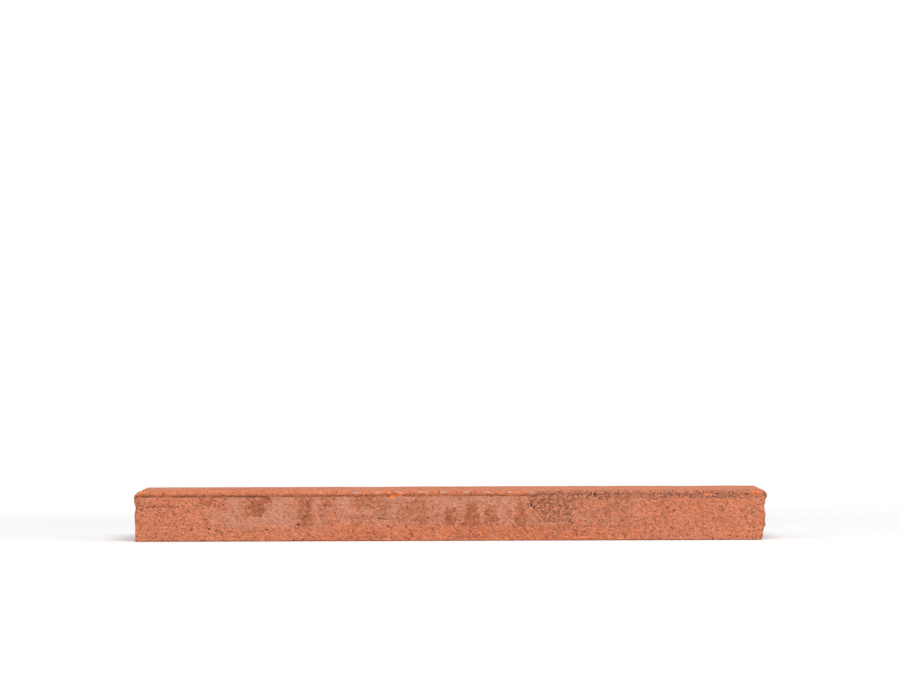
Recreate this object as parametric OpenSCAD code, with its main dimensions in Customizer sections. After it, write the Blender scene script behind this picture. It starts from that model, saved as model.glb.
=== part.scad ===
// Long-format clay facing brick, lying on its bed.
//
// One solid of fired clay. It is the overlap of three outlines: the end section with its rolled
// bead, the front elevation with its lipped, broken and torn ends, and the plan with its eased
// upright edges. Chips are then scooped out of the bead.
//
// Millimetres. X runs along the length, the face side looks along -Y, and Z is up. The origin is
// the middle of the bottom bed.

/* [Brick] */
// Length of the brick, over the lips of its ends
brick_length = 500; // [300:5:600]
// Depth of the brick, from the bead on the face side to the back
brick_depth = 100; // [70:1:120]
// Height of the brick, between its two beds
brick_height = 40; // [36:1:75]

/* [Bead] */
// Radius of the bead rolled along the top edge of the face side
bead_radius = 2.7; // [1.5:0.1:4]
// How far the bead stands proud of the face
bead_proud = 0.6; // [0.2:0.1:1]

/* [Edges] */
// Radius of the top edge at the back
top_edge_radius = 2.5; // [0.5:0.1:5]
// Radius of the two bottom edges, which the cutter leaves crisp
bottom_edge_radius = 0.8; // [0.2:0.1:3]
// Radius of the four upright edges
upright_edge_radius = 3; // [1:0.1:6]

/* [Left end] */
// Length of the broken top corner
left_break_length = 4.8; // [1:0.1:10]
// Height of the broken top corner
left_break_height = 4.6; // [1:0.1:8]
// Height of the lip below the broken corner
left_lip_height = 3; // [1:0.1:5]
// How far the lip hangs over the end face
left_overhang = 0.6; // [0.2:0.1:3]

/* [Right end] */
// Length of the broken top corner
right_break_length = 4.4; // [1:0.1:10]
// Height of the broken top corner
right_break_height = 4; // [1:0.1:8]
// Height of the lip below the broken corner
right_lip_height = 2.7; // [1:0.1:5]
// How far the lip hangs over the end face
right_overhang = 1.8; // [0.2:0.1:3]
// How far the end face runs in at the bottom, where it tore
right_tear_length = 2; // [0.5:0.1:6]
// Height over which the end face runs in
right_tear_height = 12; // [5:0.5:18]

/* [Hidden] */
$fn = 64;
fired_clay = "#c97b5d";

left_end = -brick_length / 2;
right_end = brick_length / 2;
bead_front = -brick_depth / 2;
face_front = bead_front + bead_proud;
back = brick_depth / 2;

// Height of the slope under the lip of an end
lip_underside = 1.2;

// Room by which each outline runs past the other two
overrun = 5;

// Chips in the front of the bead: the end that each is measured from (-1 left, 1 right), its
// distance from that end, its drop below the top bed, its length, and its depth into the bead
bead_chips = [
    [-1, 206.4, 3.7, 10, 1],
    [1, 47, 3.4, 7, 0.7],
];

// Radius of the ball that scoops a chip of this length and depth out of a straight front
function scoop_radius(length, depth) = (pow(length / 2, 2) + pow(depth, 2)) / (2 * depth);

// Outline of a lipped end, as [distance in from the tip, height], from the face up to the top bed
function lipped_end(break_length, break_height, lip_height, overhang) =
    let (tip_top = brick_height - break_height, tip_bottom = tip_top - lip_height)
    [
        [overhang, tip_bottom - lip_underside],
        [0, tip_bottom],
        [0, tip_top],
        [break_length, brick_height],
    ];

// The waste outside a quarter round, for a corner at the origin whose sides run along +X and +Y
module corner_waste(radius) {
    difference() {
        translate([-overrun, -overrun]) square(radius + overrun);
        translate([radius, radius]) circle(radius);
    }
}

// End section: depth across, height up
module end_section() {
    bead_centre = [bead_front + bead_radius, brick_height - bead_radius];
    difference() {
        union() {
            translate([face_front, 0]) square([back - face_front, bead_centre.y]);
            translate([bead_centre.x, 0]) square([back - bead_centre.x, brick_height]);
            translate(bead_centre) circle(bead_radius);
        }
        translate([face_front, 0]) corner_waste(bottom_edge_radius);
        translate([back, 0]) mirror([1, 0]) corner_waste(bottom_edge_radius);
        translate([back, brick_height]) rotate(180) corner_waste(top_edge_radius);
    }
}

// Front elevation: length across, height up. The left end is crisp at the bottom, the right one torn
module front_elevation() {
    left = concat(
        [[left_overhang, 0]],
        lipped_end(left_break_length, left_break_height, left_lip_height, left_overhang));
    right = concat(
        [[right_overhang + right_tear_length, 0], [right_overhang, right_tear_height]],
        lipped_end(right_break_length, right_break_height, right_lip_height, right_overhang));
    polygon(concat(
        [for (p = right) [right_end - p.x, p.y]],
        [for (i = [len(left) - 1:-1:0]) [left_end + left[i].x, left[i].y]]));
}

// Plan: length across, depth up, with the four upright edges eased
module plan() {
    difference() {
        translate([left_end, bead_front]) square([brick_length, brick_depth]);
        for (flip_x = [0, 1], flip_y = [0, 1])
            mirror([flip_x, 0]) mirror([0, flip_y])
                translate([left_end, bead_front]) corner_waste(upright_edge_radius);
    }
}

// Ball that leaves one chip in the bead, standing off square to the face
module bead_chip(end, distance, drop, length, depth) {
    radius = scoop_radius(length, depth);
    translate([end * (right_end - distance), bead_front + depth - radius, brick_height - drop])
        sphere(radius);
}

module brick() {
    color(fired_clay)
    difference() {
        intersection() {
            translate([left_end - overrun, 0, 0]) rotate([90, 0, 90])
                linear_extrude(brick_length + 2 * overrun) end_section();
            translate([0, back + overrun, 0]) rotate([90, 0, 0])
                linear_extrude(brick_depth + 2 * overrun) front_elevation();
            translate([0, 0, -overrun])
                linear_extrude(brick_height + 2 * overrun) plan();
        }
        for (chip = bead_chips)
            bead_chip(chip[0], chip[1], chip[2], chip[3], chip[4]);
    }
}

brick();
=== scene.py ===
"""Weathered long-format clay brick, its fired clay, and a plain studio stage.

Lengths are metres. X runs along the brick, the face side looks along -Y, and Z is up from the
bottom bed. The origin is the middle of the bottom bed.
"""

import math

import bpy
import numpy as np
from bpy.props import FloatProperty, FloatVectorProperty, IntProperty, PointerProperty
from bpy.types import Operator, Panel, PropertyGroup
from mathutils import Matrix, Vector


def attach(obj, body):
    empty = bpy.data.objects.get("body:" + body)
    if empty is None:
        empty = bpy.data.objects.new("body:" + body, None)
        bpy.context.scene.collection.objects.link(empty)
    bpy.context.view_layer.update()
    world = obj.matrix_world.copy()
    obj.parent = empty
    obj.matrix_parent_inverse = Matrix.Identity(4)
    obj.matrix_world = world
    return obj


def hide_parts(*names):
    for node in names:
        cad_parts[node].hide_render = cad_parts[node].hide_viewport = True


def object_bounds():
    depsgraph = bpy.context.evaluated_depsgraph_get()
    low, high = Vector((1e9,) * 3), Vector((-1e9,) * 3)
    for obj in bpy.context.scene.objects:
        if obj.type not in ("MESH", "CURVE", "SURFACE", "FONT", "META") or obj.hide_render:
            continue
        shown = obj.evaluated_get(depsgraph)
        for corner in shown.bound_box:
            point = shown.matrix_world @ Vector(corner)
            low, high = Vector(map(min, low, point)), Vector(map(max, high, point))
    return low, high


bl_info = {
    "name": "Clay Facing Brick",
    "version": (1, 0, 0),
    "blender": (4, 5, 0),
    "location": "View3D > Sidebar > Brick",
    "description": "Builds a weathered long-format clay brick and a plain stage around it",
    "category": "Add Mesh",
}

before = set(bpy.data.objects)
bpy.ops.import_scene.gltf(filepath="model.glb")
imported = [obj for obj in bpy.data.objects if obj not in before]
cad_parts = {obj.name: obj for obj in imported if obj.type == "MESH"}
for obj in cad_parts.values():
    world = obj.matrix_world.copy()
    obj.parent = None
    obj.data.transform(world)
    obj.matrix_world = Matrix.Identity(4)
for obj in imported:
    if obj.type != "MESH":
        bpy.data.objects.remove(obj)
cad_low, cad_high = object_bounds()

MM = 0.001
PIECE_NAME = "fired_brick"
CAD_NODE = "brick"
CAD_BODY = "root"

HALF_LENGTH = cad_high.x
HALF_DEPTH = cad_high.y
HEIGHT = cad_high.z

# Lattice of the brick's surface: cells along the length, and along each of the three stretches of
# the depth and of the height. The outer stretches are as long as the edge sizes. The back and the
# beds use one X line in so many.
LENGTH_CELLS = 840
LINE_STEP = 4
DEPTH_CELLS = (5, 36, 5)
HEIGHT_CELLS = (4, 46, 12)
DEPTH_EDGE = 4.0 * MM
BOTTOM_EDGE = 2.4 * MM
TOP_EDGE = 7.2 * MM

# Number of random values in the tables that noise and scattered marks draw from
TABLE = 256
# Factor that brings noise to about -1 to 1
NOISE_GAIN = 1.5
# Power norm of the broken top corners: between a straight break, 1, and a round, 2
BREAK_POWER = 1.35

# Front outline of each end, in mm: height, distance in from the tip of the lip
LEFT_END = (
    (0.0, 0.8),
    (3.0, 0.7),
    (11.9, 0.9),
    (16.6, 0.5),
    (22.0, 0.2),
    (24.3, 0.8),
    (26.0, 1.3),
    (28.0, 0.9),
    (30.5, 0.3),
    (32.0, 0.0),
)
RIGHT_END = (
    (0.0, 4.5),
    (4.7, 3.4),
    (6.6, 3.3),
    (9.7, 2.5),
    (11.9, 1.2),
    (15.4, 1.8),
    (17.6, 1.7),
    (20.0, 1.3),
    (24.0, 2.1),
    (26.6, 2.5),
    (28.7, 1.8),
    (32.6, 1.3),
    (33.4, 0.3),
    (36.0, 0.0),
)

# Darker marks where the face was covered in the kiln, in mm: middle along X, half width, lowest
# and highest edge, lean along X over the height, widening from bottom to top, strength
KISS_MARKS = (
    (-193.5, 5.0, 28.5, 35.0, 0.0, 0.0, 0.68),
    (-182.0, 4.0, 27.0, 35.0, 0.0, 0.0, 0.68),
    (-162.5, 2.6, 21.0, 34.0, 0.0, 0.0, 0.60),
    (-152.0, 6.0, 20.0, 36.0, 5.0, 0.6, 0.95),
    (-115.0, 4.2, 9.0, 36.0, 1.0, 0.1, 0.92),
    (-97.0, 5.5, 11.0, 34.0, 0.0, 0.0, 0.55),
    (-62.5, 11.0, 26.0, 35.0, 0.0, 0.0, 0.65),
    (-54.5, 2.6, 20.0, 34.0, 0.0, 0.0, 0.75),
    (-76.5, 2.6, 11.0, 21.0, 0.0, 0.0, 0.70),
    (-69.0, 7.0, 12.0, 19.5, 0.0, 0.0, 0.60),
    (-29.0, 7.5, 21.0, 31.0, 0.0, 0.0, 0.68),
    (-38.0, 2.4, 15.0, 25.0, 0.0, 0.0, 0.65),
    (-23.0, 4.6, 11.0, 21.0, 0.0, 0.0, 0.75),
    (-0.5, 3.4, 13.0, 25.0, 0.0, 0.0, 0.90),
    (-9.0, 2.8, 13.0, 21.0, 0.0, 0.0, 0.55),
    (16.2, 4.8, 10.0, 30.0, 0.0, -0.7, 1.00),
    (31.5, 3.8, 11.0, 27.0, 0.0, -0.2, 0.90),
    (54.3, 2.4, 23.0, 31.0, 0.0, 0.0, 0.80),
    (55.5, 3.2, 11.0, 24.0, -1.0, -0.5, 1.00),
    (140.0, 4.0, 7.0, 20.0, 0.0, 0.0, 0.55),
)

# Pits in the face, in mm: place along X, height, half length, half height, depth
FACE_PITS = (
    (-195.8, 25.1, 1.2, 1.0, 0.5),
    (-193.6, 17.2, 1.7, 1.6, 0.5),
    (-190.7, 10.0, 1.6, 0.9, 0.8),
    (-180.6, 4.9, 1.3, 0.8, 0.5),
    (-145.0, 9.2, 1.6, 1.0, 0.8),
    (-141.4, 7.8, 1.8, 0.6, 0.4),
    (-147.5, 5.0, 0.9, 0.8, 0.4),
    (-120.5, 13.2, 2.0, 1.0, 0.8),
    (-156.5, 34.6, 2.6, 1.0, 0.5),
    (-116.5, 30.8, 1.8, 0.8, 0.5),
    (-248.6, 26.0, 1.4, 2.4, 0.7),
    (-69.5, 20.4, 1.3, 0.8, 0.7),
    (32.0, 30.4, 0.9, 0.8, 0.5),
    (44.0, 20.6, 0.9, 1.0, 0.5),
    (64.0, 31.2, 0.9, 1.0, 0.9),
    (63.6, 27.8, 0.8, 1.6, 0.9),
    (65.0, 26.0, 1.0, 0.8, 0.8),
    (93.2, 15.0, 1.2, 0.9, 0.9),
    (95.6, 13.7, 0.9, 1.0, 0.9),
    (110.6, 36.4, 0.6, 1.4, 0.7),
    (113.6, 36.6, 0.9, 1.5, 1.0),
    (115.0, 34.6, 1.2, 0.5, 0.7),
    (121.8, 21.0, 1.3, 0.8, 0.6),
    (142.6, 28.0, 1.3, 0.7, 0.5),
    (170.6, 25.6, 1.3, 0.9, 0.8),
    (175.8, 23.3, 1.2, 0.9, 1.0),
    (180.3, 26.3, 0.9, 0.8, 0.6),
    (194.3, 28.3, 0.9, 0.6, 0.4),
    (163.8, 6.2, 1.3, 0.8, 0.5),
    (212.0, 19.0, 0.8, 1.0, 0.4),
    (206.0, 16.6, 0.8, 0.8, 0.4),
    (233.5, 19.6, 1.2, 0.7, 0.5),
    (239.0, 9.4, 1.0, 0.8, 0.5),
    (243.0, 5.4, 0.8, 0.6, 0.4),
    (245.0, 30.0, 0.8, 1.0, 0.4),
)

# Scratches in the face, in mm: start along X and height, end along X and height, half width, depth
FACE_SCRATCHES = (
    (-247.6, 34.0, -243.3, 35.6, 0.45, 0.38),
    (-249.0, 28.3, -232.0, 28.4, 0.6, 0.40),
    (-241.0, 27.2, -214.0, 27.0, 0.6, 0.48),
    (-57.5, 17.8, -48.5, 17.0, 0.6, 0.55),
    (-32.0, 15.6, -24.0, 15.2, 0.6, 0.35),
    (3.8, 20.4, 9.0, 21.6, 0.6, 0.40),
    (4.5, 25.8, 9.0, 26.0, 0.5, 0.25),
    (-46.8, 13.5, -46.6, 8.6, 0.5, 0.30),
    (84.5, 33.8, 88.5, 31.4, 0.45, 0.50),
    (209.8, 35.2, 213.8, 32.0, 0.45, 0.48),
    (205.8, 34.0, 207.8, 32.6, 0.45, 0.40),
    (194.0, 36.8, 199.0, 36.2, 0.6, 0.50),
)

# Chips, in mm: place along X, height, half length, half height, depth, and share of fresh clay
CHIPS = (
    (-45.5, 36.0, 2.3, 1.9, 0.9, 1.00),
    (-40.6, 36.8, 3.2, 0.9, 0.6, 0.85),
    (203.0, 36.6, 3.8, 1.1, 0.6, 0.55),
)

# Rubbed spots of fresh clay, in mm: place along X, height, half length, half height, strength
FRESH_SPOTS = (
    (192.6, 25.4, 2.6, 0.9, 0.48),
    (208.2, 32.3, 2.0, 1.2, 0.55),
    (240.5, 37.2, 5.0, 1.8, 0.65),
    (-247.4, 35.0, 2.0, 2.4, 0.40),
    (-248.6, 7.0, 1.2, 7.0, 0.80),
    (63.4, 24.6, 0.9, 1.4, 0.75),
    (146.6, 36.6, 1.5, 0.8, 0.50),
)

# Areas of the face, in mm: lowest edge, highest edge and softness along X, then the same in height
HAZE_AREA = (-178, 50, 26, 16, 36, 11)
BLOOM_AREA = (96, 148, 12, 8, 31, 4)
BAND_AREA = (-92, 150, 24, 0.5, 11, 2.5)
CRISP_BAND_AREA = (46, 98, 3, 0.5, 12.4, 0.8)
PATCH_AREA = (63, 95, 4, 13.5, 39, 1.5)
SPARED_AREA = (58, 71, 4, 10, 22, 3)
LEDGE_AREA = (53, 98, 4, 12.9, 14.1, 0.7)
COARSE_AREA = (64, 135, 20, 10, 39, 4)
SCORED_AREA = (-58, -16, 10, 16, 30, 5)
# Worn stretch of the face, in mm: lowest edge, highest edge and softness along X
WORN_STRETCH = (-80, 150, 30)

# Pale dashes along the bead, in mm: the middle of one, the distance to the next, their half length,
# and their area with its heights measured down from the top bed
SCUFF_MIDDLE = -74.9
SCUFF_PITCH = 17.4
SCUFF_HALF = 2.8
SCUFF_AREA = (-79, 70, 2, 1.3, 1.7, 0.4)

# Layers of wrinkles: slope down across the face in degrees, cell in mm, seed
WRINKLE_LAYERS = ((66.0, 2.6, 9.0), (42.0, 3.0, 11.0))
WRINKLE_STRETCH = 1.8
WRINKLE_HALF_WIDTH = 0.42
# How far the pale crests, a painted highlight on the lit side of each wrinkle, lie from the
# wrinkles, in mm along the face and up it
HIGHLIGHT_SHIFT = (0.5, -0.55)

# Layers of dark specks: slope down across the face in degrees, stretch, cell in mm
SPECK_LAYERS = ((22.0, 2.2, 1.55), (-12.0, 2.4, 1.75))
# Where a speck begins to fade and where it ends, as radii in mm, and the share of cells with one
SPECK_GRAIN = (0.24, 0.56, 0.36)
GRIT_CELL = 4.5
GRIT_GRAIN = (0.25, 0.7, 0.35)

# Lamps: name, place, width and height in metres, and the setting that holds their power
LAMPS = (
    ("key", (0.35, -1.9, 2.0), (2.2, 1.0), "key_power"),
    ("fill_left", (-2.2, -1.4, 0.9), (1.0, 1.4), "fill_power"),
    ("fill_right", (2.2, -1.4, 0.9), (1.0, 1.4), "fill_power"),
)
# Oval of the floor that keeps the shadow: its shape, and where white begins and is full in metres
FLOOR_OVAL = (0.6, 1.0, 1.0)
FLOOR_FADE = (0.16, 0.7)


def linear(red, green, blue):
    """A screen colour, 0 to 255, as linear light: each channel by the sRGB curve."""
    share = np.array((red, green, blue)) / 255
    return tuple(np.where(share > 0.04045, ((share + 0.055) / 1.055) ** 2.4, share / 12.92))


def size(name, description, millimetres):
    """A length property with its default in millimetres."""
    return FloatProperty(
        name=name,
        description=description,
        default=millimetres * MM,
        min=0.0,
        unit="LENGTH",
        precision=5,
    )


def paint(name, description, red, green, blue):
    """A colour property with its default as a screen colour, 0 to 255."""
    return FloatVectorProperty(
        name=name,
        description=description,
        default=linear(red, green, blue),
        min=0.0,
        max=1.0,
        subtype="COLOR",
    )


class BrickForm(PropertyGroup):
    """Sizes of the brick's form and of its relief."""

    bead_radius: size("Bead Radius", "Radius of the bead along the top of the face", 2.7)
    bead_proud: size("Bead Proud", "How far the bead stands proud of the face", 0.6)
    top_edge_radius: size("Top Edge Radius", "Radius of the top edge at the back", 2.5)
    bottom_edge_radius: size("Bottom Edge Radius", "Radius of the two bottom edges", 0.8)
    upright_edge_radius: size("Upright Edge Radius", "Radius of the four upright edges", 3.0)
    left_break_length: size("Left Break Length", "Length of the left end's broken corner", 4.8)
    left_break_height: size("Left Break Height", "Height of the left end's broken corner", 4.6)
    right_break_length: size("Right Break Length", "Length of the right end's broken corner", 4.4)
    right_break_height: size("Right Break Height", "Height of the right end's broken corner", 4.0)
    swell_depth: size("Swell Depth", "Depth of the slow waves of every side", 0.3)
    drag_depth: size("Drag Depth", "Depth of the drag marks along the face and the beds", 0.16)
    grain_depth: size("Grain Depth", "Depth of the coarse grain", 0.16)
    pit_depth: size("Pit Depth", "Depth of the scattered pits", 0.45)
    wrinkle_depth: size("Wrinkle Depth", "Depth of the wrinkled patch and the rough bead", 0.38)
    groove_depth: size("Groove Depth", "Depth of the line under the smooth part of the bead", 0.3)
    torn_depth: size("Torn Depth", "Depth of the torn surface of the ends", 0.9)
    nick_depth: size("Nick Depth", "Depth of the nicks along every edge", 0.7)
    seed: IntProperty(name="Seed", description="Seed of every random draw", default=9, min=0)


class ClayColours(PropertyGroup):
    """Colours of the fired clay, as they look on the face."""

    body: paint("Body", "Main colour of the clay", 207, 125, 91)
    deep: paint("Deep", "Darker patches of the main colour", 188, 110, 79)
    warm: paint("Warm", "Oranger patches of the main colour", 218, 124, 78)
    haze: paint("Haze", "Pale bloom over the middle of the face", 200, 138, 114)
    kiss: paint("Kiss Marks", "Marks where the face was covered in the kiln", 168, 97, 68)
    band: paint("Lower Band", "Stronger orange along the bottom of the face", 202, 115, 78)
    # Partly painted shade: the smooth bead is set a little darker than the body, as if another brick
    # lay on top
    bead: paint("Bead", "Smooth part of the bead", 200, 117, 82)
    rough: paint("Rough Bead", "Rough part of the bead and the wrinkled patch", 192, 117, 87)
    # Painted highlight: the lit sides of the wrinkles' crests
    ridge_highlight: paint("Ridges", "Pale crests beside the wrinkles", 230, 147, 112)
    # Painted shade: this dark colour stands for the shade in the crease under the bead and in the
    # wrinkles' creases
    groove: paint("Groove", "Line under the bead, and wrinkles", 98, 67, 55)
    # Painted shade: the dark floor of pits and scratches stands for the shade in them
    hollow: paint("Hollows", "Floor of pits and scratches", 80, 56, 47)
    speck: paint("Dark Specks", "Fine dark grains", 98, 68, 57)
    grit: paint("Pale Grit", "Sparse pale grains", 236, 198, 174)
    fresh: paint("Fresh Clay", "Chips and rubbed edges", 242, 128, 66)
    scuff: paint("Scuffs", "Pale rub marks along the top of the bead", 196, 170, 158)


class StageSetup(PropertyGroup):
    """Camera, floor and light."""

    lens: FloatProperty(name="Lens", description="Focal length", default=180.0, unit="CAMERA")
    sensor: FloatProperty(
        name="Sensor", description="Width of the sensor", default=36.0, unit="CAMERA"
    )
    image_width: IntProperty(
        name="Image Width", description="Width of the picture in pixels", default=900
    )
    length_in_pixels: FloatProperty(
        name="Length in Pixels", description="Length of the brick in the picture", default=634.2
    )
    eye_height: size("Eye Height", "Height of the camera above the floor", 160.4)
    eye_shift: size("Eye Shift", "How far the camera stands left of the middle", 0.1)
    roll: FloatProperty(
        name="Roll", description="Roll of the camera", default=math.radians(0.19), subtype="ANGLE"
    )
    floor_size: size("Floor Size", "Side of the square floor", 8000.0)
    floor_white: FloatProperty(
        name="Floor White", description="White of the floor as it is seen", default=0.95
    )
    floor_bounce: FloatProperty(
        name="Floor Bounce", description="Light that the floor throws back", default=0.3
    )
    sky: FloatProperty(
        name="Sky", description="Strength of the even light from all round", default=0.5
    )
    key_power: FloatProperty(
        name="Key", description="Power of the lamp above the camera", default=55.2, unit="POWER"
    )
    fill_power: FloatProperty(
        name="Fill", description="Power of each side lamp", default=14.0, unit="POWER"
    )


def smooth(value):
    """Clip to 0 to 1 and ease both ends: three times the square less twice the cube."""
    t = np.clip(value, 0.0, 1.0)
    return t * t * (3 - 2 * t)


def window(value, low, high, soft):
    """1 between low and high, easing to 0 over soft outside them."""
    return smooth((value - low) / soft + 1) * smooth((high - value) / soft + 1)


def area(x, z, limits):
    """1 in an area of the face, easing to 0 outside it: a window along X times one in height."""
    x_low, x_high, x_soft, z_low, z_high, z_soft = limits
    return window(x, x_low, x_high, x_soft) * window(z, z_low, z_high, z_soft)


def hashed(cell, order):
    """One table place for each cell: its three whole numbers looked up one after another."""
    key = cell % TABLE
    first = order[key[:, 0]]
    second = order[(first + key[:, 1]) % TABLE]
    return order[(second + key[:, 2]) % TABLE]


def cloud(points, grain, seed):
    """Gradient noise, about -1 to 1.

    Space is cut into cells of the size given by grain. Every cell corner has a random slope, and a
    point blends the heights that its eight corners' slopes give it, by a smooth weight.
    """
    random = np.random.default_rng(seed)
    order = random.permutation(TABLE)
    slopes = random.normal(size=(TABLE, 3))
    slopes /= np.linalg.norm(slopes, axis=1, keepdims=True)
    scaled = points / grain
    cell = np.floor(scaled).astype(int)
    inside = scaled - cell
    fade = inside**3 * (inside * (inside * 6 - 15) + 10)
    total = np.zeros(len(points))
    for corner in np.ndindex(2, 2, 2):
        slope = slopes[hashed(cell + corner, order)]
        weight = np.where(corner, fade, 1 - fade).prod(axis=1)
        total += weight * ((inside - corner) * slope).sum(axis=1)
    return NOISE_GAIN * total


def clouds(points, grain, seed, octaves):
    """A sum of clouds, each half as coarse and half as high as the one before."""
    grain = np.broadcast_to(grain, 3)
    return sum(cloud(points, grain / 2**n, seed + n) / 2**n for n in range(octaves))


def scattered(points, cell, share, low, high, seed):
    """Depth, 0 to 1, of bowls scattered one to a cell.

    A cell has a bowl with the chance given by share. Its middle is anywhere in the cell and its
    radius is between low and high. The depth is the square of 1 less the squared distance in radii.
    """
    random = np.random.default_rng(seed)
    order = random.permutation(TABLE)
    middle = random.random((TABLE, 3))
    radius = random.uniform(low, high, TABLE)
    live = random.random(TABLE) < share
    scaled = points / cell
    base = np.floor(scaled).astype(int)
    depth = np.zeros(len(points))
    for step in np.ndindex(3, 3, 3):
        near = base + step - 1
        key = hashed(near, order)
        away = np.linalg.norm((scaled - near - middle[key]) * cell, axis=1) / radius[key]
        depth = np.maximum(depth, live[key] * np.clip(1 - away**2, 0, None) ** 2)
    return depth


def graded_lines(ends, cells):
    """Lattice lines from the first end to the last, each stretch cut into so many even cells."""
    stretches = [np.linspace(a, b, n, endpoint=False) for a, b, n in zip(ends, ends[1:], cells)]
    return np.concatenate([*stretches, ends[-1:]])


def sheet_quads(u, v, number):
    """Quads of a sheet with corners number(u, v), wound so that u crossed with v looks outwards."""
    corner = number(*np.meshgrid(u, v, indexing="ij"))
    ring = (corner[:-1, :-1], corner[1:, :-1], corner[1:, 1:], corner[:-1, 1:])
    return np.stack(ring, axis=-1).reshape(-1, 4)


def lattice_shell(x_lines, y_lines, z_lines, fine_rows, step):
    """Points, quads and triangles of a closed box lattice.

    The face side and the first rows of both beds use every X line. The rest uses one line in each
    step, and a strip of triangles, one more than step to each wide cell, joins the two.
    """
    nx, ny, nz = len(x_lines) - 1, len(y_lines) - 1, len(z_lines) - 1
    every, spaced = np.arange(nx + 1), np.arange(0, nx + 1, step)
    rows, near, far = np.arange(ny + 1), np.arange(fine_rows + 1), np.arange(fine_rows + 1, ny + 1)
    levels = np.arange(nz + 1)

    def number(i, j, k):
        """Number of the lattice point on lines i, j and k, counted along Z, then Y, then X."""
        return (i * (ny + 1) + j) * (nz + 1) + k

    quads = [
        sheet_quads(every, levels, lambda i, k: number(i, 0, k)),
        sheet_quads(levels, spaced, lambda k, i: number(i, ny, k)),
        sheet_quads(levels, rows, lambda k, j: number(0, j, k)),
        sheet_quads(rows, levels, lambda j, k: number(nx, j, k)),
    ]
    triangles = []
    for level in (0, nz):
        bed = [
            sheet_quads(every, near, lambda i, j, k=level: number(i, j, k)),
            sheet_quads(spaced, far, lambda i, j, k=level: number(i, j, k)),
        ]
        left, half = spaced[:-1], step // 2
        fine = [number(left + n, fine_rows, level) for n in range(step + 1)]
        wide = [number(left + n, fine_rows + 1, level) for n in (0, step)]
        fans = [(fine[n], fine[n + 1], wide[n // half]) for n in range(step)]
        fans.append((fine[half], wide[1], wide[0]))
        strip = np.concatenate([np.stack(fan, axis=1) for fan in fans])
        outward = 1 if level else -1
        quads += [sheet[:, ::outward] for sheet in bed]
        triangles.append(strip[:, ::outward])
    quads, triangles = np.concatenate(quads), np.concatenate(triangles)

    used, place = np.unique(np.concatenate((quads.ravel(), triangles.ravel())), return_inverse=True)
    i, rest = np.divmod(used, (ny + 1) * (nz + 1))
    j, k = np.divmod(rest, nz + 1)
    points = np.stack((x_lines[i], y_lines[j], z_lines[k]), axis=1)
    return points, place[: quads.size].reshape(-1, 4), place[quads.size :].reshape(-1, 3)


def ease_corner(a, b, reach_a, reach_b, power):
    """Ease the corner where two sides meet. a and b are distances in from the two sides.

    Within the reaches, u and v are the shares of the way out to the corner. Both are scaled so that
    their power norm equals the larger of them: a power of 2 gives a round, and 1 a straight break.
    """
    u = np.clip(1 - a / reach_a, 0, None)
    v = np.clip(1 - b / reach_b, 0, None)
    norm = (u**power + v**power) ** (1 / power)
    pull = np.maximum(u, v) / np.where(norm > 0, norm, 1)
    eased_a = np.where(u > 0, reach_a * (1 - u * pull), a)
    eased_b = np.where(v > 0, reach_b * (1 - v * pull), b)
    return eased_a, eased_b


def behind_face(y):
    """0 at the face side, easing to 1 a little way behind it."""
    return smooth((y + HALF_DEPTH - 3 * MM) / (12 * MM))


def end_inset(points, outline, seed):
    """How far an end lies in from the tip of its lip: straight runs between the outline's heights.

    Behind the face, noise carries the outline up and down, so that the end isn't one extrusion.
    """
    heights, insets = np.array(outline).T * MM
    stray = 5 * MM * clouds(points, (1, 16 * MM, 22 * MM), seed, 2)
    return np.interp(points[:, 2] + stray * behind_face(points[:, 1]), heights, insets)


def shaped(points, form):
    """Carry the box lattice onto the brick's form.

    The edges of the end section are eased first, and the face is set back under the bead. Then come
    the broken corners and the upright edges. Last, each end is drawn in by its outline, less and
    less with the distance from it.
    """
    x, y, z = points.T
    middle = HEIGHT / 2
    sections = (
        (-1, 1, form.bead_radius),
        (1, 1, form.top_edge_radius),
        (-1, -1, form.bottom_edge_radius),
        (1, -1, form.bottom_edge_radius),
    )
    for side, level, radius in sections:
        a, b = ease_corner(HALF_DEPTH - side * y, middle - level * (z - middle), radius, radius, 2)
        y, z = side * (HALF_DEPTH - a), middle + level * (middle - b)

    drop = np.clip(HEIGHT - form.bead_radius - z, 0, form.bead_radius)
    under_bead = form.bead_radius - np.sqrt(form.bead_radius**2 - drop**2)
    setback_reach = 20 * MM
    rough_start, rough_run, rough_loss = 60 * MM, 25 * MM, 0.55
    setback = form.bead_proud * (1 - rough_loss * smooth((x - rough_start) / rough_run))
    y = y + np.minimum(under_bead, setback) * smooth(1 - (y + HALF_DEPTH) / setback_reach)

    breaks = (
        (-1, form.left_break_length, form.left_break_height),
        (1, form.right_break_length, form.right_break_height),
    )
    for end, length, height in breaks:
        a, b = ease_corner(HALF_LENGTH - end * x, HEIGHT - z, length, height, BREAK_POWER)
        x, z = end * (HALF_LENGTH - a), HEIGHT - b
    for end in (-1, 1):
        for side in (-1, 1):
            radius = form.upright_edge_radius
            a, b = ease_corner(HALF_LENGTH - end * x, HALF_DEPTH - side * y, radius, radius, 2)
            x, y = end * (HALF_LENGTH - a), side * (HALF_DEPTH - b)

    points = np.stack((x, y, z), axis=1)
    inset_reach = 14 * MM
    for end, outline in ((-1, LEFT_END), (1, RIGHT_END)):
        near_end = smooth(1 - (HALF_LENGTH - end * x) / inset_reach)
        points[:, 0] -= end * near_end * end_inset(points, outline, form.seed + 401 + end)
    return points


def to_segment(x, z, start, stop):
    """Distance from the points (x, z) to the straight line between two places."""
    start, stop = np.array(start), np.array(stop)
    run = stop - start
    along = np.clip(((x - start[0]) * run[0] + (z - start[1]) * run[1]) / (run @ run), 0, 1)
    return np.hypot(x - start[0] - along * run[0], z - start[1] - along * run[1])


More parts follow.
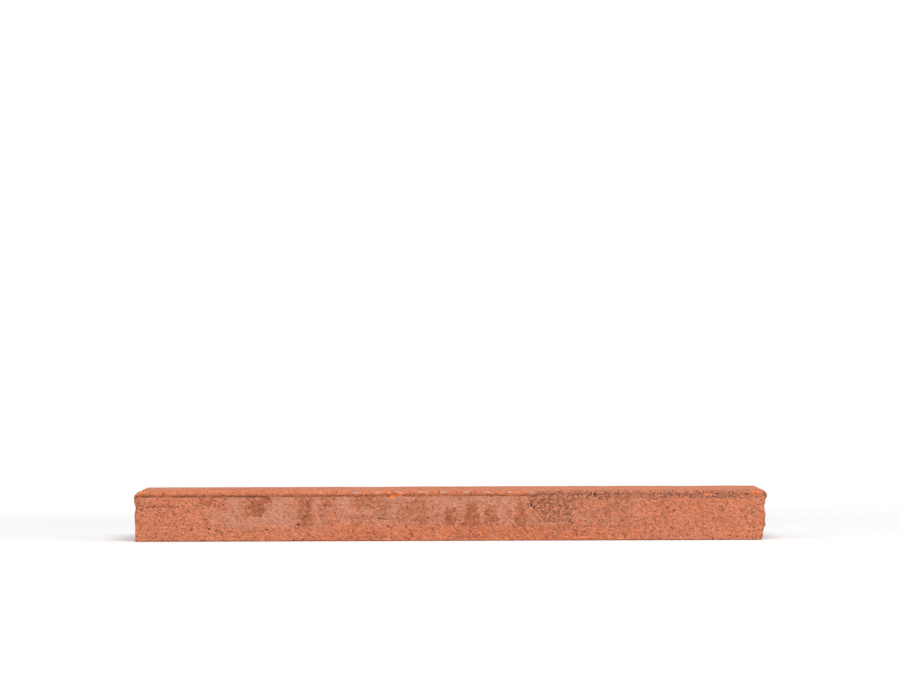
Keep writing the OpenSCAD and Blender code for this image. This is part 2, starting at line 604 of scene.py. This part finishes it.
def kiss_marks(x, z, fray_x, fray_z):
    """Marks left in the kiln, 0 to 1: frayed windows along X and Z that lean and widen upwards."""
    kiss = np.zeros(len(x))
    for middle, half, low, high, lean, widen, strength in KISS_MARKS:
        rise = np.clip((z - low) / (high - low), 0, 1) - 0.5
        across = np.abs(x + fray_x - middle - lean * rise) / (half * (1 + widen * rise))
        inside = smooth(1.9 - across) * window(z + fray_z, low, high, 2.5)
        kiss = np.maximum(kiss, strength * inside)
    return kiss


def face_bowls(x, z, fray_z, wobble):
    """Depth in mm of the pits and scratches: cones in an oval, and notches along a line."""
    bowls = np.zeros(len(x))
    for pit_x, pit_z, half_x, half_z, depth in FACE_PITS:
        away = np.hypot((x - pit_x) / half_x, (z - pit_z) / half_z) + wobble
        bowls = np.maximum(bowls, depth * np.clip(1.3 - away, 0, None))
    for x0, z0, x1, z1, half, depth in FACE_SCRATCHES:
        away = to_segment(x, z + 0.15 * fray_z, (x0, z0), (x1, z1)) / half
        bowls = np.maximum(bowls, depth * np.clip(1.5 - away, 0, None) * smooth(0.8 + wobble))
    return bowls


def face_chips(x, z, wobble):
    """Chips, 0 to 1, their depth in mm, and fresh clay, 0 to 1: ovals with noise on their edges."""
    chipped = np.zeros(len(x))
    chip_depth = np.zeros(len(x))
    fresh = np.zeros(len(x))
    for chip_x, chip_z, half_x, half_z, depth, share in CHIPS:
        away = np.hypot((x - chip_x) / half_x, (z - chip_z) / half_z) + 0.7 * wobble
        chip = smooth(5.5 - 5 * away)
        chipped = np.maximum(chipped, chip)
        chip_depth = np.maximum(chip_depth, depth * np.clip(2 - 2 * away**2, 0, 1))
        fresh = np.maximum(fresh, share * chip)
    for spot_x, spot_z, half_x, half_z, strength in FRESH_SPOTS:
        away = np.hypot((x - spot_x) / half_x, (z - spot_z) / half_z) + wobble
        fresh = np.maximum(fresh, strength * smooth(1.6 - away))
    return chipped, chip_depth, fresh


def bead_scuffs(x, behind, from_top, wobble):
    """Pale dashes, 0 to 1: evenly spaced along X, near the top of the bead's front."""
    dash = np.abs((x - SCUFF_MIDDLE + SCUFF_PITCH / 2) % SCUFF_PITCH - SCUFF_PITCH / 2)
    scuff = smooth(SCUFF_HALF - dash) * area(x, from_top, SCUFF_AREA)
    return scuff * smooth((1.6 - behind) / 0.6 + 0.5) * smooth(0.8 + wobble)


def face_marks(points, front, form):
    """Marks of the face side, each from 0 to 1, and the depth of what is cut into it.

    Areas with edges that noise pushes about give the haze, the lower band, the wrinkled patch and
    the worn stretch. The bead is what lies above a wavy height, and the line under it is a bell
    curve, cut in a little and darkened as painted shade of the crease below the bead.
    """
    seed = form.seed
    x, y, z = points.T / MM
    behind = y + HALF_DEPTH / MM
    from_top = HEIGHT / MM - z
    fray_x = 2.4 * clouds(points, 5 * MM, seed + 11, 3)
    fray_z = 2.4 * clouds(points, 5 * MM, seed + 21, 3)
    wobble = 0.45 * clouds(points, 1.6 * MM, seed + 91, 2)

    blotch = smooth(0.55 + 0.9 * clouds(points, 5 * MM, seed + 31, 3))
    weaker_below = 0.45 + 0.55 * smooth((z - 9) / 6)
    kiss = kiss_marks(x, z, fray_x, fray_z) * (0.5 + 0.5 * blotch) * weaker_below
    haze = area(x + 4 * fray_x, z + 2 * fray_z, HAZE_AREA)
    haze = haze * smooth(0.8 + 0.5 * clouds(points, 16 * MM, seed + 41, 3)) * (1 - 0.8 * kiss)
    band = area(x + 3 * fray_x, z + 0.6 * fray_z, BAND_AREA)
    band = band * smooth(0.75 + 0.9 * clouds(points, 9 * MM, seed + 51, 3))
    band = np.maximum(band, 0.9 * area(x + fray_x, z + 0.2 * fray_z, CRISP_BAND_AREA))

    rough_share = smooth((x + 2 * fray_x - 64) / 8)
    bead_height = 4.6 + 0.4 * clouds(points, (24 * MM, 1, 1), seed + 61, 3) + 2.6 * rough_share
    bead = smooth((bead_height + 0.25 * rough_share * fray_z - from_top) / 0.9 + 0.5)
    bead = bead * smooth((5.0 - behind) / 1.5)
    # The line under the bead: cut in a little, and darkened in the clay as painted shade of the
    # crease
    groove_width = 0.62 - 0.12 * smooth((x + 70) / 20)
    groove = np.exp(-(((from_top - bead_height - 0.3) / groove_width) ** 2)) * (1 - rough_share)
    groove = groove * smooth(0.65 + 1.3 * clouds(points, (11 * MM, 1, 1), seed + 71, 3))
    groove = groove * (1 - 0.4 * smooth((x + 165) / 30) - 0.3 * smooth((x + 70) / 20))

    patch = area(x + 0.6 * fray_x, z + 0.5 * fray_z, PATCH_AREA)
    spared = area(x + fray_x, z + fray_z, SPARED_AREA)
    ledge = area(x + fray_x, z + 0.25 * fray_z, LEDGE_AREA)
    coarse = area(x + 3 * fray_x, z + fray_z, COARSE_AREA)
    scored = area(x + 3 * fray_x, z + fray_z, SCORED_AREA)
    worn = window(x + 4 * fray_x, *WORN_STRETCH) * (0.67 + 0.33 * coarse)
    patch = patch * (0.88 - 0.4 * spared) * (1 - 0.8 * ledge)
    wrinkle = np.maximum(patch, np.maximum(0.36 * coarse, 0.30 * scored))
    # Over the bead's right part the rough colour also reaches the crest: rough clay, and partly
    # painted shade that keeps the crest from looking lit from above
    wrinkle = np.maximum(wrinkle, 0.88 * bead * rough_share)
    bloom = smooth(0.1 + 1.3 * clouds(points, 7 * MM, seed + 101, 3))
    bloom = bloom * area(x + 3 * fray_x, z, BLOOM_AREA)
    haze = np.maximum(haze, np.maximum(bloom, 0.9 * ledge))
    folds = np.clip(0.5 - clouds(points, (3.2 * MM, 3.2 * MM, 4.2 * MM), seed + 81, 2), 0, 1)

    bowls = face_bowls(x, z, fray_z, wobble)
    chipped, chip_depth, fresh = face_chips(x, z, wobble)
    cut = groove * form.groove_depth + wrinkle * folds * form.wrinkle_depth
    cut = cut + np.maximum(0.8 * bowls, chip_depth) * MM
    shown = np.maximum(front, bead)
    marks = {
        "kiss": kiss * front * (1 - bead),
        "haze": haze * front * (1 - bead),
        "band": band * front,
        "bead": bead * (1 - 0.5 * rough_share),
        "rough": wrinkle * shown * (1 - np.maximum(chipped, fresh)),
        "groove": groove * shown,
        "hollow": bowls * shown * (1 - chipped),
        "fresh": fresh * shown,
        "scuff": bead_scuffs(x, behind, from_top, wobble),
        "worn": worn * front,
        "unseen": 1 - shown,
    }
    return marks, cut * shown


def side_relief(points, normals, form):
    """Depth of the relief that every side has, and its pits from 0 to 1.

    Slow waves and grain are noise. Drag marks are noise stretched along X, on the face, the back
    and the beds. The ends are torn: coarse noise with the wire's marks stretched along Z.
    """
    seed = form.seed + 200
    along, across, up = (normals**2).T
    swell = 0.5 + 0.5 * clouds(points, (90 * MM, 60 * MM, 28 * MM), seed, 2)
    drag = np.clip(0.4 + clouds(points, (42 * MM, 4.5 * MM, 1.9 * MM), seed + 10, 3), 0, None)
    grain = np.clip(0.5 + 0.7 * clouds(points, 2.4 * MM, seed + 20, 2), 0, None)
    pits = scattered(points, 7.5 * MM, 0.5, 0.7 * MM, 1.7 * MM, seed + 30)
    torn = np.clip(0.5 + 0.8 * clouds(points, (9 * MM, 9 * MM, 11 * MM), seed + 40, 4), 0, None)
    wire = np.clip(0.5 + clouds(points, (9 * MM, 2.2 * MM, 26 * MM), seed + 50, 2), 0, None)
    depth = form.swell_depth * np.clip(swell, 0, None) * (1 - 0.5 * up) * (1 - 0.6 * along)
    depth += form.drag_depth * drag * (across + 1.3 * up)
    depth += form.grain_depth * grain + form.pit_depth * pits
    tear = along * (0.12 + 0.88 * behind_face(points[:, 1]))
    depth += tear * form.torn_depth * (torn + 0.25 * wire)
    return depth, pits


def edge_share(points):
    """How close a point is to an edge of the brick, 0 to 1: two of its three sides are near."""
    middle = np.array((0, 0, HEIGHT / 2))
    away = np.array((HALF_LENGTH, HALF_DEPTH, HEIGHT / 2)) - np.abs(points - middle)
    second = np.sort(away, axis=1)[:, 1]
    edge_reach = 3.2 * MM
    return smooth(1 - second / edge_reach)


def clay_mesh(name, form):
    """The brick's mesh, with its marks as point attributes that the clay reads."""
    x_lines = np.linspace(-HALF_LENGTH, HALF_LENGTH, LENGTH_CELLS + 1)
    y_ends = (-HALF_DEPTH, DEPTH_EDGE - HALF_DEPTH, HALF_DEPTH - DEPTH_EDGE, HALF_DEPTH)
    z_ends = (0.0, BOTTOM_EDGE, HEIGHT - TOP_EDGE, HEIGHT)
    y_lines = graded_lines(y_ends, DEPTH_CELLS)
    z_lines = graded_lines(z_ends, HEIGHT_CELLS)
    points, quads, triangles = lattice_shell(x_lines, y_lines, z_lines, DEPTH_CELLS[0], LINE_STEP)
    points = shaped(points, form)

    mesh = bpy.data.meshes.new(name)
    corners = np.concatenate((quads.ravel(), triangles.ravel()))
    starts = np.concatenate((4 * np.arange(len(quads)), quads.size + 3 * np.arange(len(triangles))))
    mesh.vertices.add(len(points))
    mesh.loops.add(len(corners))
    mesh.polygons.add(len(starts))
    mesh.vertices.foreach_set("co", points.ravel())
    mesh.loops.foreach_set("vertex_index", corners)
    mesh.polygons.foreach_set("loop_start", starts)
    mesh.update(calc_edges=True)
    normals = np.empty(points.size)
    mesh.vertex_normals.foreach_get("vector", normals)
    normals = normals.reshape(-1, 3)

    front = np.clip(-normals[:, 1], 0, 1) ** 2
    marks, cut = face_marks(points, front, form)
    depth, pits = side_relief(points, normals, form)
    nicks = np.clip(clouds(points, 5 * MM, form.seed + 311, 3) - 0.15, 0, None)
    nick = edge_share(points) * nicks * (1 - 0.75 * marks["bead"])
    smooth_bead = 1 - 0.7 * marks["bead"]
    flat_bed = np.where(normals[:, 2] < -0.9, 0.5, 1)
    inward = (depth * smooth_bead + cut + form.nick_depth * nick) * flat_bed
    points = points - inward[:, None] * normals
    # Painted shade in the scattered pits of every side as well
    marks["hollow"] = np.maximum(marks["hollow"], 0.75 * pits * (1 - marks["fresh"]))

    mesh.vertices.foreach_set("co", points.ravel())
    for mark, values in marks.items():
        layer = mesh.attributes.new(mark, "FLOAT", "POINT")
        layer.data.foreach_set("value", values.astype(np.float32))
    mesh.shade_smooth()
    mesh.update()
    return mesh


class ClayNodes:
    """Short calls that add nodes to one material. Each returns the socket that it ends in."""

    def __init__(self, tree):
        self.tree = tree

    def add(self, kind, inputs, output, **settings):
        """A node with its settings, its inputs linked or set, and one of its outputs returned."""
        node = self.tree.nodes.new(kind)
        for name, value in settings.items():
            setattr(node, name, value)
        for key, value in inputs.items():
            if isinstance(value, bpy.types.NodeSocket):
                self.tree.links.new(value, node.inputs[key])
            else:
                node.inputs[key].default_value = value
        return node.outputs[output]

    def mark(self, name):
        """One of the mesh's marks, from 0 to 1."""
        return self.add("ShaderNodeAttribute", {}, "Fac", attribute_name=name)

    def noise(self, place, grain, detail, seed):
        """Noise from 0 to 1 whose features are about as wide as grain, in mm."""
        inputs = {
            "Vector": place,
            "W": seed,
            "Scale": 1 / (grain * MM),
            "Detail": detail,
            "Roughness": 0.6,
        }
        return self.add("ShaderNodeTexNoise", inputs, "Fac", noise_dimensions="4D")

    def span(self, value, low, high, to_low=0.0, to_high=1.0):
        """Map low and high to two other values, easing between them."""
        inputs = {0: value, 1: low, 2: high, 3: to_low, 4: to_high}
        return self.add("ShaderNodeMapRange", inputs, 0, interpolation_type="SMOOTHSTEP")

    def math(self, operation, first, second=0.0):
        """Arithmetic on two values."""
        return self.add("ShaderNodeMath", {0: first, 1: second}, 0, operation=operation)

    def vector(self, operation, inputs, output=0):
        """Arithmetic on vectors."""
        return self.add("ShaderNodeVectorMath", inputs, output, operation=operation)

    def mix(self, share, under, over, blend="MIX"):
        """Lay one colour over another by a share."""
        inputs = {0: share, 6: under, 7: over}
        settings = {"data_type": "RGBA", "blend_type": blend, "clamp_factor": True}
        return self.add("ShaderNodeMix", inputs, 2, **settings)

    def bent(self, place, grain, reach, seed):
        """A place pushed about by noise, by about reach in mm."""
        inputs = {"Vector": place, "W": seed, "Scale": 1 / (grain * MM), "Detail": 1.0}
        push = self.add("ShaderNodeTexNoise", inputs, "Color", noise_dimensions="4D")
        push = self.vector("SUBTRACT", {0: push, 1: (0.5, 0.5, 0.5)})
        push = self.vector("SCALE", {0: push, "Scale": 4 * reach * MM})
        return self.vector("ADD", {0: place, 1: push})

    def turned(self, place, degrees, stretch, shift=(0.0, 0.0)):
        """A place drawn out along a line that slopes down across the face by so many degrees.

        The pattern can be moved along the face and up it by a shift in mm.
        """
        turn = (0.0, 0.0, -math.radians(degrees))
        move = (shift[0] * MM, shift[1] * MM, 0.0)
        inputs = {"Vector": place, "Location": move, "Rotation": turn, "Scale": (stretch, 1.0, 1.0)}
        return self.add("ShaderNodeMapping", inputs, "Vector", vector_type="TEXTURE")

    def frayed(self, name, grain, pull, low, high):
        """A mark whose edge is broken up by the grain."""
        shift = self.math("MULTIPLY", self.math("SUBTRACT", grain, 0.5), pull)
        return self.span(self.math("ADD", self.mark(name), shift), low, high)

    def strokes(self, place, cell, half, seed):
        """Short bent lines, 0 to 1: the edges of a Voronoi pattern's cells, broken up by noise."""
        inputs = {"Vector": place, "Scale": 1 / (cell * MM)}
        edge = self.add("ShaderNodeTexVoronoi", inputs, "Distance", feature="DISTANCE_TO_EDGE")
        line = self.span(edge, 0.0, half / cell, 1.0, 0.0)
        broken = self.span(self.noise(place, 0.6 * cell, 0.0, seed), 0.43, 0.53)
        return self.math("MULTIPLY", line, broken)

    def grains(self, place, cell, low, high, chance):
        """Separate grains, 0 to 1: round spots in a share of the cells of a Voronoi pattern."""
        cells = self.tree.nodes.new("ShaderNodeTexVoronoi")
        self.tree.links.new(place, cells.inputs["Vector"])
        cells.inputs["Scale"].default_value = 1 / (cell * MM)
        spot = self.span(cells.outputs["Distance"], low / cell, high / cell, 1.0, 0.0)
        red = self.add("ShaderNodeSeparateColor", {"Color": cells.outputs["Color"]}, "Red")
        return self.math("MULTIPLY", spot, self.math("LESS_THAN", red, chance))


def fired_clay(colours):
    """Fired clay: mottled body, kiln marks, fine grain, dark specks, pale grit, and fresh chips."""
    material = bpy.data.materials.new("fired_clay")
    material.use_nodes = True
    tree = material.node_tree
    tree.nodes.clear()
    nodes = ClayNodes(tree)
    place = nodes.add("ShaderNodeTexCoord", {}, "Object")

    def colour(name):
        """One of the colours, opaque."""
        return (*getattr(colours, name), 1.0)

    upright = {"Vector": place, "Rotation": (-math.pi / 2, 0.0, 0.0)}
    facing = nodes.add("ShaderNodeMapping", upright, "Vector")
    bent = nodes.bent(facing, 2.5, 0.8, 7.0)

    # Body of the clay, with slow kiln tones away from the face
    blotch = nodes.noise(place, 24.0, 3.0, 1.0)
    mottle = nodes.noise(place, 6.0, 4.0, 2.0)
    grain = nodes.noise(place, 1.3, 2.0, 3.0)
    pale = nodes.noise(place, 1.5, 2.0, 4.0)
    warm = nodes.noise(place, 1.4, 2.0, 5.0)
    fine = nodes.noise(place, 0.95, 0.0, 6.0)
    patches = nodes.span(nodes.math("ADD", blotch, mottle), 0.85, 1.3, 0.0, 0.5)
    tone = nodes.mix(patches, colour("body"), colour("deep"))
    tone = nodes.mix(nodes.span(pale, 0.5, 0.75, 0.0, 0.5), tone, colour("haze"))
    tone = nodes.mix(nodes.span(warm, 0.5, 0.75, 0.0, 0.6), tone, colour("warm"))
    flash = nodes.noise(place, 80.0, 2.0, 8.0)
    darker = nodes.math("MULTIPLY", nodes.span(flash, 0.52, 0.68, 0.0, 0.55), nodes.mark("unseen"))
    paler = nodes.math("MULTIPLY", nodes.span(flash, 0.48, 0.34, 0.0, 0.45), nodes.mark("unseen"))
    tone = nodes.mix(darker, tone, colour("deep"))
    tone = nodes.mix(paler, tone, colour("haze"))

    # Marks of the face
    haze = nodes.math("MULTIPLY", nodes.frayed("haze", grain, 2.0, 0.2, 1.1), 0.8)
    tone = nodes.mix(haze, tone, colour("haze"))
    band = nodes.math("MULTIPLY", nodes.frayed("band", grain, 2.0, 0.2, 1.1), 0.9)
    tone = nodes.mix(band, tone, colour("band"))
    flakes = nodes.noise(place, 3.4, 4.0, 10.0)
    tone = nodes.mix(nodes.frayed("kiss", flakes, 2.6, 0.28, 0.95), tone, colour("kiss"))
    # The bead's own colour, a little darker than the body, partly as painted shade of its top
    tone = nodes.mix(nodes.mark("bead"), tone, colour("bead"))
    rough = nodes.math("MULTIPLY", nodes.frayed("rough", grain, 2.0, 0.2, 1.0), 0.8)
    tone = nodes.mix(rough, tone, colour("rough"))
    tone = nodes.mix(nodes.frayed("fresh", grain, 1.8, 0.3, 0.8), tone, colour("fresh"))

    # Shades of streaks, fine grain and flakes
    streaks = nodes.noise(nodes.turned(bent, 24.0, 2.6), 1.05, 0.0, 12.0)
    dark_streaks = nodes.span(streaks, 0.30, 0.47, 0.75, 1.01)
    pale_streaks = nodes.span(streaks, 0.55, 0.72, 1.0, 1.17)
    coarse_shade = nodes.math("MULTIPLY", dark_streaks, pale_streaks)
    fine_shade = nodes.span(fine, 0.2, 0.8, 0.81, 1.20)
    flake_reach = nodes.span(nodes.mark("worn"), 0.0, 1.0, 0.08, 0.64)
    flake_push = nodes.math("MULTIPLY", nodes.math("SUBTRACT", flakes, 0.5), flake_reach)
    flake_shade = nodes.math("ADD", nodes.math("MULTIPLY", flake_push, 2.0), 1.0)
    shade = nodes.math("MULTIPLY", nodes.math("MULTIPLY", coarse_shade, fine_shade), flake_shade)
    tone = nodes.mix(nodes.span(nodes.mark("haze"), 0.0, 1.0, 1.0, 0.75), tone, shade, "MULTIPLY")

    # Wrinkles, dark with painted shade in their creases, beside pale crests of painted highlight;
    # then the line of painted shade under the bead
    def folds(shift):
        """The strokes of both layers, moved by a shift in mm, where the face or the bead is rough."""
        layers = []
        for slope, cell, seed in WRINKLE_LAYERS:
            sloping = nodes.turned(bent, slope, WRINKLE_STRETCH, shift)
            layers.append(nodes.strokes(sloping, cell, WRINKLE_HALF_WIDTH, seed))
        return nodes.math("MULTIPLY", nodes.math("MAXIMUM", *layers), nodes.mark("rough"))

    tone = nodes.mix(folds(HIGHLIGHT_SHIFT), tone, colour("ridge_highlight"))
    wrinkles = folds((0.0, 0.0))
    tone = nodes.mix(wrinkles, tone, colour("groove"))
    # Painted shade along the crease under the smooth part of the bead
    groove = nodes.math("MULTIPLY", nodes.frayed("groove", grain, 1.8, 0.15, 1.0), 0.7)
    tone = nodes.mix(groove, tone, colour("groove"))

    # Specks, grit, scuffs, and painted shade in the pits and scratches
    specks = [
        nodes.grains(nodes.turned(bent, slope, stretch), cell, *SPECK_GRAIN)
        for slope, stretch, cell in SPECK_LAYERS
    ]
    calm = nodes.span(nodes.mark("haze"), 0.0, 1.0, 0.95, 0.6)
    dark = nodes.math("MULTIPLY", nodes.math("MAXIMUM", *specks), calm)
    tone = nodes.mix(dark, tone, colour("speck"))
    grit = nodes.grains(place, GRIT_CELL, *GRIT_GRAIN)
    tone = nodes.mix(nodes.math("MULTIPLY", grit, 0.6), tone, colour("grit"))
    tone = nodes.mix(nodes.mark("scuff"), tone, colour("scuff"))
    tone = nodes.mix(nodes.span(nodes.mark("hollow"), 0.25, 0.6), tone, colour("hollow"))

    # Surface
    height = nodes.math("SUBTRACT", grain, nodes.math("MULTIPLY", dark, 0.6))
    height = nodes.math("SUBTRACT", height, wrinkles)
    relief = {"Height": height, "Strength": 0.4, "Distance": 0.4 * MM}
    bump = nodes.add("ShaderNodeBump", relief, "Normal")
    roughness = nodes.span(mottle, 0.3, 0.7, 0.80, 0.95)
    surface = nodes.add(
        "ShaderNodeBsdfPrincipled",
        {"Base Color": tone, "Roughness": roughness, "Normal": bump, "Specular IOR Level": 0.25},
        "BSDF",
    )
    output = tree.nodes.new("ShaderNodeOutputMaterial")
    tree.links.new(surface, output.inputs["Surface"])
    return material


class BRICK_OT_make_brick(Operator):
    """Build the weathered brick in place of its plain solid"""

    bl_idname = "brick.make_brick"
    bl_label = "Make Brick"

    def execute(self, context):
        mesh = clay_mesh(PIECE_NAME, context.scene.brick_form)
        mesh.materials.append(fired_clay(context.scene.clay_colours))
        piece = bpy.data.objects.new(PIECE_NAME, mesh)
        context.scene.collection.objects.link(piece)
        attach(piece, CAD_BODY)
        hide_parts(CAD_NODE)
        return {"FINISHED"}


def seen_directly(nodes):
    """1 for rays from the camera, mirror rays and rays through glass, which should meet white."""
    path = nodes.tree.nodes.new("ShaderNodeLightPath")
    sight = nodes.math("MAXIMUM", path.outputs["Is Camera Ray"], path.outputs["Is Glossy Ray"])
    return nodes.math("MAXIMUM", sight, path.outputs["Is Transmission Ray"])


def studio_world(setup):
    """An even white sky that is pure white where it is seen."""
    world = bpy.data.worlds.new("studio")
    world.use_nodes = True
    nodes = ClayNodes(world.node_tree)
    background = world.node_tree.nodes["Background"]
    background.inputs["Color"].default_value = (1.0, 1.0, 1.0, 1.0)
    strength = nodes.span(seen_directly(nodes), 0.0, 1.0, setup.sky, 1.0)
    world.node_tree.links.new(strength, background.inputs["Strength"])
    return world


def floor_white(setup):
    """A matt floor that keeps the brick's shadow.

    Where it is seen it is white, and purely so away from the brick. The light that it throws back
    is weaker.
    """
    material = bpy.data.materials.new("studio_floor")
    material.use_nodes = True
    tree = material.node_tree
    tree.nodes.clear()
    nodes = ClayNodes(tree)
    place = nodes.add("ShaderNodeTexCoord", {}, "Object")
    oval = nodes.vector("MULTIPLY", {0: place, 1: FLOOR_OVAL})
    away = nodes.vector("LENGTH", {0: oval}, "Value")
    sight = seen_directly(nodes)
    far = nodes.math("MULTIPLY", nodes.span(away, *FLOOR_FADE), sight)
    white = nodes.span(sight, 0.0, 1.0, setup.floor_bounce, setup.floor_white)
    matt = nodes.add("ShaderNodeBsdfDiffuse", {"Color": white}, 0)
    glow = nodes.add("ShaderNodeEmission", {"Color": (1.0, 1.0, 1.0, 1.0), "Strength": 1.0}, 0)
    blend = nodes.add("ShaderNodeMixShader", {0: far, 1: matt, 2: glow}, 0)
    output = tree.nodes.new("ShaderNodeOutputMaterial")
    tree.links.new(blend, output.inputs["Surface"])
    return material


def add_lamp(scene, name, place, width_height, power, target):
    """A soft rectangular lamp that looks at a target."""
    light = bpy.data.lights.new(name, "AREA")
    light.shape = "RECTANGLE"
    light.size, light.size_y = width_height
    light.energy = power
    lamp = bpy.data.objects.new(name, light)
    scene.collection.objects.link(lamp)
    lamp.location = place
    lamp.rotation_euler = (target - lamp.location).to_track_quat("-Z", "Y").to_euler()


class BRICK_OT_set_stage(Operator):
    """Lay the floor, hang the lamps and stand the camera square to the face"""

    bl_idname = "brick.set_stage"
    bl_label = "Set Stage"

    def execute(self, context):
        scene = context.scene
        setup = scene.stage_setup
        scene.view_settings.view_transform = "Standard"
        scene.world = studio_world(setup)

        half = setup.floor_size / 2
        corners = [(-half, -half, 0), (half, -half, 0), (half, half, 0), (-half, half, 0)]
        mesh = bpy.data.meshes.new("studio_floor")
        mesh.from_pydata(corners, [], [(0, 1, 2, 3)])
        mesh.materials.append(floor_white(setup))
        floor = bpy.data.objects.new("studio_floor", mesh)
        scene.collection.objects.link(floor)

        target = (cad_low + cad_high) / 2
        for name, place, width_height, power in LAMPS:
            add_lamp(scene, name, place, width_height, getattr(setup, power), target)

        camera = bpy.data.cameras.new("camera")
        camera.lens = setup.lens
        camera.sensor_width = setup.sensor
        seen_width = 2 * HALF_LENGTH * setup.image_width / setup.length_in_pixels
        stand_off = seen_width * setup.lens / setup.sensor
        eye = bpy.data.objects.new("camera", camera)
        scene.collection.objects.link(eye)
        eye.location = (-setup.eye_shift, -HALF_DEPTH - stand_off, setup.eye_height)
        eye.rotation_euler = (math.pi / 2, setup.roll, 0.0)
        scene.camera = eye
        return {"FINISHED"}


class BRICK_PT_panel(Panel):
    """Lists the brick's sizes and colours and the stage"""

    bl_idname = "BRICK_PT_panel"
    bl_label = "Clay Facing Brick"
    bl_space_type = "VIEW_3D"
    bl_region_type = "UI"
    bl_category = "Brick"

    def draw(self, context):
        for name, operator in (
            ("brick_form", BRICK_OT_make_brick),
            ("clay_colours", None),
            ("stage_setup", BRICK_OT_set_stage),
        ):
            box = self.layout.box()
            group = getattr(context.scene, name)
            for key in group.__annotations__:
                box.prop(group, key)
            if operator:
                box.operator(operator.bl_idname)


CLASSES = (
    BrickForm,
    ClayColours,
    StageSetup,
    BRICK_OT_make_brick,
    BRICK_OT_set_stage,
    BRICK_PT_panel,
)


def register():
    """Register the classes and hang the settings on the scene."""
    for cls in CLASSES:
        bpy.utils.register_class(cls)
    bpy.types.Scene.brick_form = PointerProperty(type=BrickForm)
    bpy.types.Scene.clay_colours = PointerProperty(type=ClayColours)
    bpy.types.Scene.stage_setup = PointerProperty(type=StageSetup)


def unregister():
    """Take the settings off the scene and unregister the classes."""
    del bpy.types.Scene.stage_setup
    del bpy.types.Scene.clay_colours
    del bpy.types.Scene.brick_form
    for cls in reversed(CLASSES):
        bpy.utils.unregister_class(cls)


def main():
    register()
    bpy.ops.brick.make_brick()
    bpy.ops.brick.set_stage()


if __name__ == "__main__":
    main()
